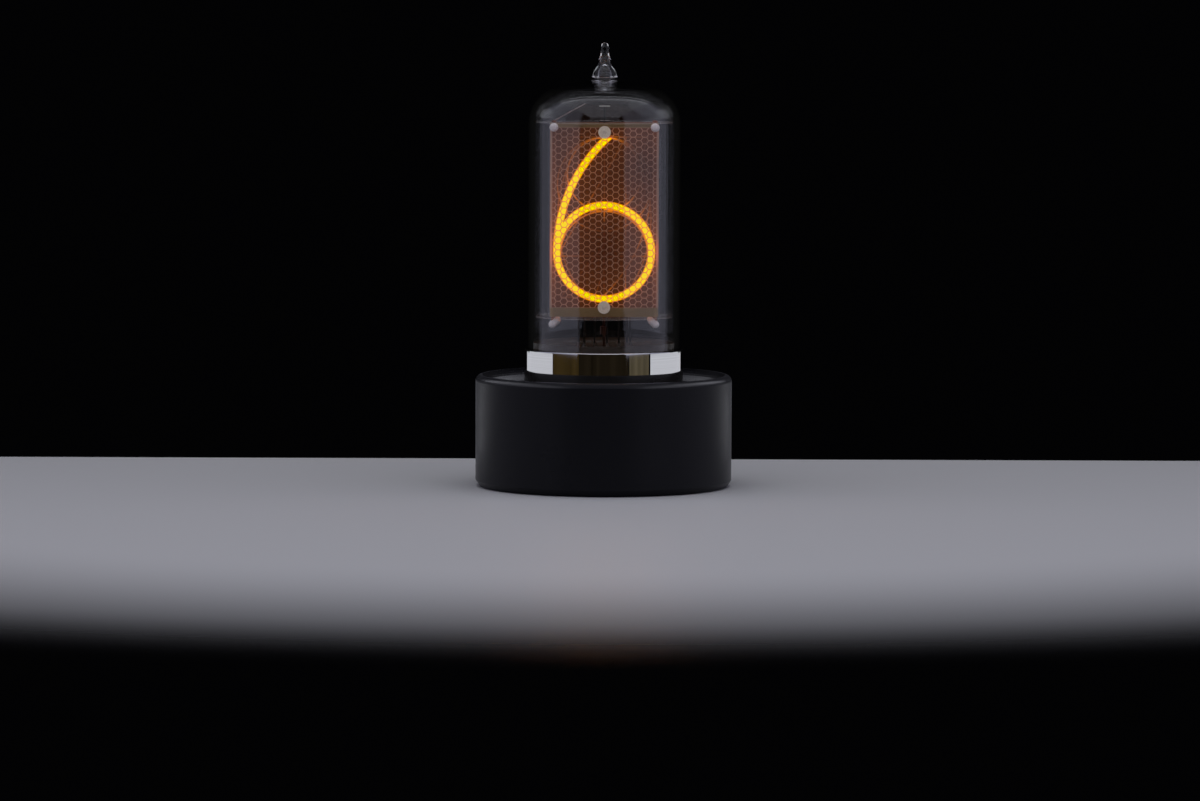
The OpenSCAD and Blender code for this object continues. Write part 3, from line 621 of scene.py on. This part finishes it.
eyeletRing = arcPoints((eyeletShape["radius"], eyeletShape["height"]), eyeletShape["wire"], 0, 330, 11)
eyelet = lathe("eyeletRim", eyeletRing, "tube", "electrode_nickel", segments=48)
eyelet.data.materials.append(materials["eyelet"])
print("glass made")


collarShape = {
    "bore": 32.1,
    "radius": 33.4,
    "low": 48.7,
    "high": 58.1,
    "lip": 0.45,
    "foot": 0.15,
    "keepStraight": 0.02,
}


def makeCollar(shape):
    r, lip, foot = shape["radius"], shape["lip"], shape["foot"]
    profile = [(shape["bore"], shape["low"]), (r - foot, shape["low"])]
    profile += arcPoints((r - foot, shape["low"] + foot), foot, -60, 0, 3)
    keep = shape["keepStraight"]  # two more rings hold the wall's shading straight
    profile += [(r, shape["low"] + foot + keep), (r, shape["high"] - lip - keep)]
    profile += arcPoints((r - lip, shape["high"] - lip), lip, 0, 90, 10)
    profile += [(shape["bore"] + foot, shape["high"]), (shape["bore"], shape["high"] - foot)]
    return lathe("turnedCollar", profile, "tube", "chrome", segments=192)


collar = makeCollar(collarShape)
collar.data.materials.append(materials["chrome"])
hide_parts("tube_collar")
print("collar made")


# the anode mesh: a hexagonal net with a plain strip above and below

meshShape = {
    "halfWidth": 22.55,
    "frontY": -9.15,
    "bendRadius": 2.0,
    "sideEnd": -0.2,
    "sheet": 0.26,
    "low": 71.95,
    "high": 153.15,
    "stripLow": 3.8,
    "stripHigh": 1.9,
    "columnPitch": 2.386,
    "rows": 28,
    "bar": 0.34,
    "edgeBar": 0.102,  # half the bar where a halved cell meets a strip
    "edgeTrim": 0.12,
    "hemFrom": 21.8,
    "hemTo": 24.2,
    "hemOut": 0.03,
    "overlap": 0.5,
}


def cagePoint(u, inset, shape):
    # a distance u along the cage's plan, from the middle of the front, as (x, y)
    side = 1 if u >= 0 else -1
    d = abs(u)
    r = shape["bendRadius"]
    flat = shape["halfWidth"] - r
    quarter = math.pi / 2 * r
    if d <= flat:
        return side * d, shape["frontY"] + inset
    if d <= flat + quarter:
        a = (d - flat) / r
        return side * (flat + (r - inset) * math.sin(a)), shape["frontY"] + r - (r - inset) * math.cos(a)
    return side * (shape["halfWidth"] - inset), shape["frontY"] + r + d - flat - quarter


def bentPlate(rings, shape):
    # each ring is (outer outline, inner outline) in (u, z); the outlines have equal counts
    verts, faces = [], []
    for outer, inner in rings:
        count = len(outer)
        base = len(verts)
        for inset in (0.0, shape["sheet"]):
            for u, z in list(outer) + list(inner):
                x, y = cagePoint(u, inset, shape)
                verts.append((x, y, z))
        back = base + 2 * count
        for i in range(count):
            j = (i + 1) % count
            faces.append((base + i, base + j, base + count + j, base + count + i))
            faces.append((back + j, back + i, back + count + i, back + count + j))
            faces.append((base + count + i, base + count + j, back + count + j, back + count + i))
    return verts, faces


def meshRings(shape):
    zLow = shape["low"] + shape["stripLow"]
    zHigh = shape["high"] - shape["stripHigh"]
    row = (zHigh - zLow) / shape["rows"]
    pitch = shape["columnPitch"]
    wide, narrow = pitch * 2 / 3, pitch / 3
    half = shape["bar"] / 2
    bend = shape["bendRadius"]
    reach = shape["halfWidth"] - bend + math.pi / 2 * bend + shape["sideEnd"] - shape["frontY"] - bend
    columns = int((reach - wide) / pitch)
    slant = half / math.sin(math.radians(60))
    rings = []

    def wholeCell(u, z, w, n, h):
        return [(u - w, z), (u - n, z - h), (u + n, z - h), (u + w, z), (u + n, z + h), (u - n, z + h)]

    def halfCell(u, w, n, zWide, zNarrow):
        return [(u - w, zWide), (u + w, zWide), (u + n, zNarrow), (u - n, zNarrow)]

    # every second column is half a row higher, and begins and ends with half a cell
    for i in range(-columns, columns + 1):
        u = i * pitch
        staggered = i % 2 == 1
        first, count = (1.0, shape["rows"] - 1) if staggered else (0.5, shape["rows"])
        for j in range(count):
            z = zLow + row * (j + first)
            rings.append((wholeCell(u, z, wide, narrow, row / 2),
                          wholeCell(u, z, wide - slant, narrow - slant / 2, row / 2 - half)))
        if staggered:
            for edge, sign in ((zLow, 1), (zHigh, -1)):
                outer = halfCell(u, wide, narrow, edge, edge + sign * row / 2)
                inner = halfCell(u, wide - slant - shape["edgeTrim"], narrow - slant / 2,
                                 edge + sign * shape["edgeBar"], edge + sign * (row / 2 - half))
                if sign < 0:
                    outer, inner = outer[::-1], inner[::-1]
                rings.append((outer, inner))
    return rings, columns * pitch + wide, zLow, zHigh, reach


def solidBand(uLow, uHigh, zLow, zHigh, shape, steps):
    # an unpierced stretch of the same bent sheet
    verts, faces = [], []
    for i in range(steps + 1):
        u = uLow + (uHigh - uLow) * i / steps
        for inset in (0.0, shape["sheet"]):
            x, y = cagePoint(u, inset, shape)
            verts += [(x, y, zLow), (x, y, zHigh)]
    for i in range(steps):
        a, b = 4 * i, 4 * (i + 1)
        faces += [(a, b, b + 1, a + 1), (a + 2, a + 3, b + 3, b + 2),
                  (a + 1, b + 1, b + 3, a + 3), (a, a + 2, b + 2, b)]
    last = 4 * steps
    faces += [(0, 1, 3, 2), (last, last + 2, last + 3, last + 1)]
    return verts, faces


def makeAnodeMesh(shape):
    rings, meshReach, zLow, zHigh, reach = meshRings(shape)
    parts = [bentPlate(rings, shape)]
    out, meshEnd = shape["hemOut"], meshReach - shape["overlap"]
    hem = dict(shape, halfWidth=shape["halfWidth"] + out, bendRadius=shape["bendRadius"] + out)
    for side in (-1, 1):
        bentHem = sorted((side * shape["hemFrom"], side * shape["hemTo"]))
        sideEdge = sorted((side * meshEnd, side * reach))
        parts.append(solidBand(*bentHem, zLow, zHigh, hem, steps=8))
        parts.append(solidBand(*sideEdge, zLow, zHigh, shape, steps=3))
    net = addObject("hexNet", *mergeMeshes(parts), "tube", "anode_metal", smoothAngle=30)
    bands = [solidBand(-reach, reach, shape["low"], zLow, shape, steps=90),
             solidBand(-reach, reach, zHigh, shape["high"], shape, steps=90)]
    strips = addObject("netStrips", *mergeMeshes(bands), "tube", "anode_metal", smoothAngle=30)
    return net, strips


net, strips = makeAnodeMesh(meshShape)
net.data.materials.append(materials["anode"])
strips.data.materials.append(materials["strip"])
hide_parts("anode_mesh")
print("anode mesh made:", len(net.data.polygons), "faces")


glowShape = {
    # the glow round the lit digit: half width and half depth of its section
    "core": (1.32, 0.7),
    "sheath": (1.62, 0.35),
    # the height at which the long arc is cut off level
    "flatEnd": 146.4,
    "endSpread": 0.2,
    "bowlSteps": 120,
    "stemSteps": 60,
}


def glowTube(points, closed, half, depth, y, flatEnd=None, around=16):
    # an oval section carried along a path in the digit's own plane
    verts, faces = [], []
    count = len(points)
    for i, (px, pz) in enumerate(points):
        before = points[i - 1] if i > 0 or closed else points[i]
        after = points[(i + 1) % count] if i < count - 1 or closed else points[i]
        tangent = Vector((after[0] - before[0], after[1] - before[1])).normalized()
        side = Vector((-tangent.y, tangent.x))
        for k in range(around):
            a = 2 * math.pi * k / around
            off = half * math.cos(a)
            x, z = px + side.x * off, pz + side.y * off
            if flatEnd is not None and i == count - 1:
                slide = (flatEnd - z) / tangent.y
                x, z = x + tangent.x * slide, flatEnd
            verts.append((x, y + depth * math.sin(a), z))
    for i in range(count if closed else count - 1):
        j = (i + 1) % count
        for k in range(around):
            m = (k + 1) % around
            faces.append((i * around + k, i * around + m, j * around + m, j * around + k))
    if not closed:
        faces.append(tuple(range(around))[::-1])
        faces.append(tuple(range((count - 1) * around, count * around)))
    return verts, faces


def makeGlow(name, section, digit, shape):
    half, depth = section
    bowl = arcPoints((0.0, digit["bowlCentre"]), digit["bowlRadius"], 0, 360, shape["bowlSteps"])[:-1]
    stemCentre = (digit["stemRadius"] - digit["bowlRadius"], digit["bowlCentre"])
    stem = arcPoints(stemCentre, digit["stemRadius"], 180, digit["stemEnd"], shape["stemSteps"])
    flatEnd = shape["flatEnd"] + half * shape["endSpread"]
    parts = [glowTube(bowl, True, half, depth, digit["y"]),
             glowTube(stem, False, half, depth, digit["y"], flatEnd)]
    glow = addObject(name, *mergeMeshes(parts), "tube", "lit_digit", smoothAngle=60)
    glow.data.materials.append(materials[name])
    return glow


makeGlow("glowCore", glowShape["core"], litDigit, glowShape)
glowSheath = makeGlow("glowSheath", glowShape["sheath"], litDigit, glowShape)
glowSheath.visible_shadow = False
print("glow made")


# stage, lamps and camera

stageLook = {
    "floorRadius": 0.62,
    "floorBack": 0.126,
    "floorSteps": 160,
    "floorPale": (0.68, 0.68, 0.69),
    "floorDark": (0.004, 0.004, 0.004),
    "fadeFrom": 0.32,
    "fadeTo": 0.6,
    "clearFrom": 0.48,
    "clearTo": 0.61,
    "backdrop": (0.0008, 0.0008, 0.001),
}


def emissive(name, colour):
    material = bpy.data.materials.new(name)
    material.use_nodes = True
    tree = material.node_tree
    tree.nodes.clear()
    output = tree.nodes.new("ShaderNodeOutputMaterial")
    glow = tree.nodes.new("ShaderNodeEmission")
    glow.inputs["Color"].default_value = (*colour, 1.0)
    tree.links.new(glow.outputs[0], output.inputs["Surface"])
    return material, tree, glow


def makeFloor(look):
    # a round floor cut off straight behind the object; its pale middle that fades to dark is a painted pool of
    # light
    r, back = look["floorRadius"], look["floorBack"]
    start = math.degrees(math.asin(back / r))
    ring = [(x, y, 0) for x, y in arcPoints((0, 0), r, 180 - start, 360 + start, look["floorSteps"])]
    mesh = bpy.data.meshes.new("floor")
    mesh.from_pydata(ring, [], [tuple(range(len(ring)))])
    floor = bpy.data.objects.new("floor", mesh)
    bpy.context.scene.collection.objects.link(floor)
    material, tree, shader = newMaterial("floor", {"Roughness": 0.4, "Specular IOR Level": 0.3})
    distance = tree.nodes.new("ShaderNodeVectorMath")
    distance.operation = "LENGTH"
    tree.links.new(objectPosition(tree), distance.inputs[0])
    # painted pool of light: the floor's colour goes from pale to dark with the distance from the object
    paintedPoolFade = mapped(tree, distance.outputs["Value"], look["fadeFrom"], look["fadeTo"], smooth=True)
    clearer = mapped(tree, distance.outputs["Value"], look["clearFrom"], look["clearTo"], smooth=True)
    rampColour(tree, paintedPoolFade, look["floorPale"], look["floorDark"], shader, 0.0, 1.0)
    tree.links.new(math2(tree, "SUBTRACT", 1.0, clearer), shader.inputs["Alpha"])
    mesh.materials.append(material)


makeFloor(stageLook)


def panelSheet(name, rows, material):
    # a curved sheet between two lines of points, which only mirrors and lights show
    verts, faces = [], []
    for first, second in rows:
        verts += [first, second]
    for i in range(len(rows) - 1):
        faces.append((2 * i, 2 * i + 2, 2 * i + 3, 2 * i + 1))
    mesh = bpy.data.meshes.new(name)
    mesh.from_pydata(verts, [], faces)
    mesh.materials.append(material)
    piece = bpy.data.objects.new(name, mesh)
    bpy.context.scene.collection.objects.link(piece)
    piece.visible_camera = False
    piece.visible_shadow = False
    return piece


def cardRows(card, start, end, side=1):
    # an upright card on a circle round the object, between two azimuths in degrees
    rows = []
    for i in range(card["steps"] + 1):
        a = math.radians(start + (end - start) * i / card["steps"])
        x, y = side * card["radius"] * math.sin(a), -card["radius"] * math.cos(a)
        rows.append(((x, y, card["low"]), (x, y, card["high"])))
    return rows


lowCard = {
    # what the collar mirrors from below the floor's edge: azimuth from, to, radiance
    "radius": 1.25,
    "low": -0.3,
    "high": -0.012,
    "steps": 24,
    "streakScale": 7.0,
    "streakRange": (0.2, 1.8),
    "zones": [
        (-78, -36, (0.034, 0.022, 0.007)),
        (-36, 36, (0.011, 0.008, 0.0045)),
        (37, 68, (0.075, 0.062, 0.038))],
}


def makeLowCard(card):
    for start, end, colour in card["zones"]:
        material, tree, glow = emissive("cardGlow", colour)
        streaks = tree.nodes.new("ShaderNodeTexNoise")
        streaks.inputs["Scale"].default_value = card["streakScale"]
        streaks.inputs["Detail"].default_value = 2.0
        stretch = tree.nodes.new("ShaderNodeMapping")
        stretch.inputs["Scale"].default_value = (1.0, 1.0, 0.0)
        tree.links.new(objectPosition(tree), stretch.inputs["Vector"])
        tree.links.new(stretch.outputs[0], streaks.inputs["Vector"])
        rangeTo(tree, streaks.outputs["Fac"], *card["streakRange"], glow.inputs["Strength"])
        piece = panelSheet("lowCard", cardRows(card, start, end), material)
        piece.visible_diffuse = False


makeLowCard(lowCard)

sidePanels = {
    # two soft boxes at each side, the upper one dimmer; they meet at the height that the collar's
    # top edge mirrors, which falls with the distance
    "x": 0.66,
    "top": 0.9,
    "bottom": -0.3,
    "edge": 0.0613,
    "fall": 0.0715,
    "gap": 0.0005,
    "steps": 24,
    # for each side: front end, rear end along the lower edge, rear end along the upper edge
    "upper": {-1: (-0.84, 0.28, 0.265), 1: (-1.14, 0.25, 0.25)},
    "lower": {-1: (-0.14, 1.06, 1.06), 1: (-0.24, 1.06, 1.06)},
    "glowHigh": (0.318, 0.316, 0.4),
    "glowLow": (0.57, 0.578, 0.62),
}

topPanel = {
    # a soft box overhead, its rear edge swinging back to meet the side panels, and its fading front
    "front": -1.58,
    "rear": 0.07,
    "swing": 0.19,
    "bend": 1.3,
    "rim": 0.05,
    "columns": 32,
    "fadeLow": 0.33,
    "glow": (0.5, 0.5, 0.57),
    "rimGlow": (1.5, 1.52, 1.65),
    "fadeGlow": (0.26, 0.265, 0.3),
    "behind": [(0.005, 0.3, 0.045), (0.3, 0.85, 0.02)],  # from, to, radiance
}


def sideRows(side, span, panels, upper):
    # lines up one side panel, from its front end to its rear ends
    rows = []
    for i in range(panels["steps"] + 1):
        yLow, yHigh = (span[0] + (end - span[0]) * i / panels["steps"] for end in span[1:])
        edge = panels["edge"] - panels["fall"] * math.hypot(panels["x"], yLow)
        low, high = (edge, panels["top"]) if upper else (panels["bottom"], edge - panels["gap"])
        rows.append(((side * panels["x"], yLow, low), (side * panels["x"], yHigh, high)))
    return rows


def makePanels(panels, top):
    high, tree, glow = emissive("panelHighGlow", panels["glowHigh"])
    low, tree, glow = emissive("panelLowGlow", panels["glowLow"])
    for side in (-1, 1):
        panelSheet("panelHigh", sideRows(side, panels["upper"][side], panels, True), high)
        panelSheet("panelLow", sideRows(side, panels["lower"][side], panels, False), low)

    z = panels["top"]
    half = top["columns"] // 2
    across = [panels["x"] * (i - half) / half for i in range(top["columns"] + 1)]
    rear = {x: top["rear"] + top["swing"] * (abs(x) / panels["x"]) ** top["bend"] for x in across}
    plain, tree, glow = emissive("topGlow", top["glow"])
    bright, tree, glow = emissive("topRimGlow", top["rimGlow"])
    panelSheet("topPanel", [((x, top["front"], z), (x, rear[x] - top["rim"], z)) for x in across], plain)
    panelSheet("topRim", [((x, rear[x] - top["rim"], z), (x, rear[x], z)) for x in across], bright)

    for start, end, radiance in top["behind"]:
        dim, tree, glow = emissive("topBehindGlow", (radiance, radiance, radiance * 1.1))
        panelSheet("topBehind", [((x, rear[x] + start, z), (x, rear[x] + end, z)) for x in across], dim)

    fading, tree, glow = emissive("topFadeGlow", top["fadeGlow"])
    height = splitAxes(tree, objectPosition(tree))[2]
    tree.links.new(mapped(tree, height, top["fadeLow"], z), glow.inputs["Strength"])
    panelSheet("topFade", [((x, top["front"], top["fadeLow"]), (x, top["front"], z)) for x in across], fading)


makePanels(sidePanels, topPanel)

rearCards = {
    # what little light the glass mirrors towards its outline: azimuth from, to, radiance
    "radius": 0.95,
    "low": -0.008,
    "high": 0.95,
    "steps": 8,
    "zones": [(117, 130, 0.008), (130, 146, 0.0045), (146, 162, 0.003), (162, 174, 0.002)],
}


def makeRearCards(cards):
    for start, end, radiance in cards["zones"]:
        material, tree, glow = emissive("rearGlow", (radiance, radiance, radiance))
        for side in (-1, 1):
            panelSheet("rearCard", cardRows(cards, start, end, side), material)


makeRearCards(rearCards)

lamps = {
    # name: centre, direction it faces, width, height, radiance, seen in mirrors, what it lights
    "overhead": ((0, 0.0, 1.1), (0, 0, -1), 0.9, 0.9, 1.3, False, "all"),
    "cageFill": ((-0.45, -1.1, 0.55), (0.37, 0.9, -0.36), 0.8, 0.8, 1.15, False, "cage"),
    "baseLeft": ((-0.65, 0.05, 0.61), (1, 0, 0), 1.9, 0.66, 2.6, True, "base"),
    "baseRight": ((0.65, 0.05, 0.61), (-1, 0, 0), 1.9, 0.66, 3.2, True, "base"),
    "wallLeft": ((-0.65, 0.8, 0.0), (1, 0, 0), 1.0, 0.54, 0.16, True, "base"),
    "wallRight": ((0.65, 0.8, 0.0), (-1, 0, 0), 1.0, 0.54, 0.16, True, "base"),
    "rearLeft": ((-0.38, 1.32, 0.0), (0.28, -0.96, 0), 0.56, 0.54, 0.18, True, "base"),
    "rearRight": ((0.38, 1.32, 0.0), (-0.28, -0.96, 0), 0.56, 0.54, 0.18, True, "base"),
    "dishTop": ((0, 0.9, 1.0), (0, 0, -1), 1.3, 1.2, 1.55, True, "base"),
}
lampTints = {"all": (0.96, 0.975, 1.0), "cage": (0.96, 0.975, 1.0), "base": (0.93, 0.94, 1.06)}
lampGroups = {
    "base": [nodes["base_housing"]],
    "cage": [nodes["front_washers"], nodes["support_rods"], nodes["corner_beads"], nodes["post_feet"],
             net, strips],
}


def addLamp(name, centre, facing, width, height, radiance, mirrored, tint):
    lamp = bpy.data.lights.new(name, "AREA")
    lamp.shape = "RECTANGLE"
    lamp.size = width
    lamp.size_y = height
    lamp.energy = math.pi * width * height * radiance
    lamp.color = tint
    holder = bpy.data.objects.new(name, lamp)
    holder.location = centre
    holder.rotation_euler = Vector(facing).to_track_quat("-Z", "Y").to_euler()
    holder.visible_camera = False
    holder.visible_glossy = mirrored
    bpy.context.scene.collection.objects.link(holder)
    return holder


receivers = {}
for group, pieces in lampGroups.items():
    receivers[group] = bpy.data.collections.new(group + "Receivers")
    for piece in pieces:
        receivers[group].objects.link(piece)
for name, (*values, group) in lamps.items():
    holder = addLamp(name, *values, lampTints[group])
    if group in receivers:
        holder.light_linking.receiver_collection = receivers[group]

world = bpy.data.worlds.new("studio")
world.use_nodes = True
world.node_tree.nodes["Background"].inputs["Color"].default_value = (*stageLook["backdrop"], 1.0)
world.node_tree.nodes["Background"].inputs["Strength"].default_value = 1.0
bpy.context.scene.world = world

cameraView = {
    "lens": 159.6,
    "distance": 2.2439,
    "pitch": 4.49,
    "height": 0.036,
    "sideways": -0.00152,
    "roll": 0.2,
    "sensor": 36.0,
    "reach": 20.0,
}


def addCamera(view):
    data = bpy.data.cameras.new("camera")
    data.lens = view["lens"]
    data.sensor_width = view["sensor"]
    data.clip_end = view["reach"]
    camera = bpy.data.objects.new("camera", data)
    pitch = math.radians(view["pitch"])
    camera.location = (view["sideways"], -view["distance"] * math.cos(pitch),
                       view["height"] + view["distance"] * math.sin(pitch))
    roll = Matrix.Rotation(math.radians(view["roll"]), 3, "Z")
    camera.rotation_euler = (Euler((math.pi / 2 - pitch, 0, 0)).to_matrix() @ roll).to_euler()
    bpy.context.scene.collection.objects.link(camera)
    bpy.context.scene.camera = camera


addCamera(cameraView)
bpy.context.scene.view_settings.view_transform = "Standard"
print("stage, lamps and camera set")
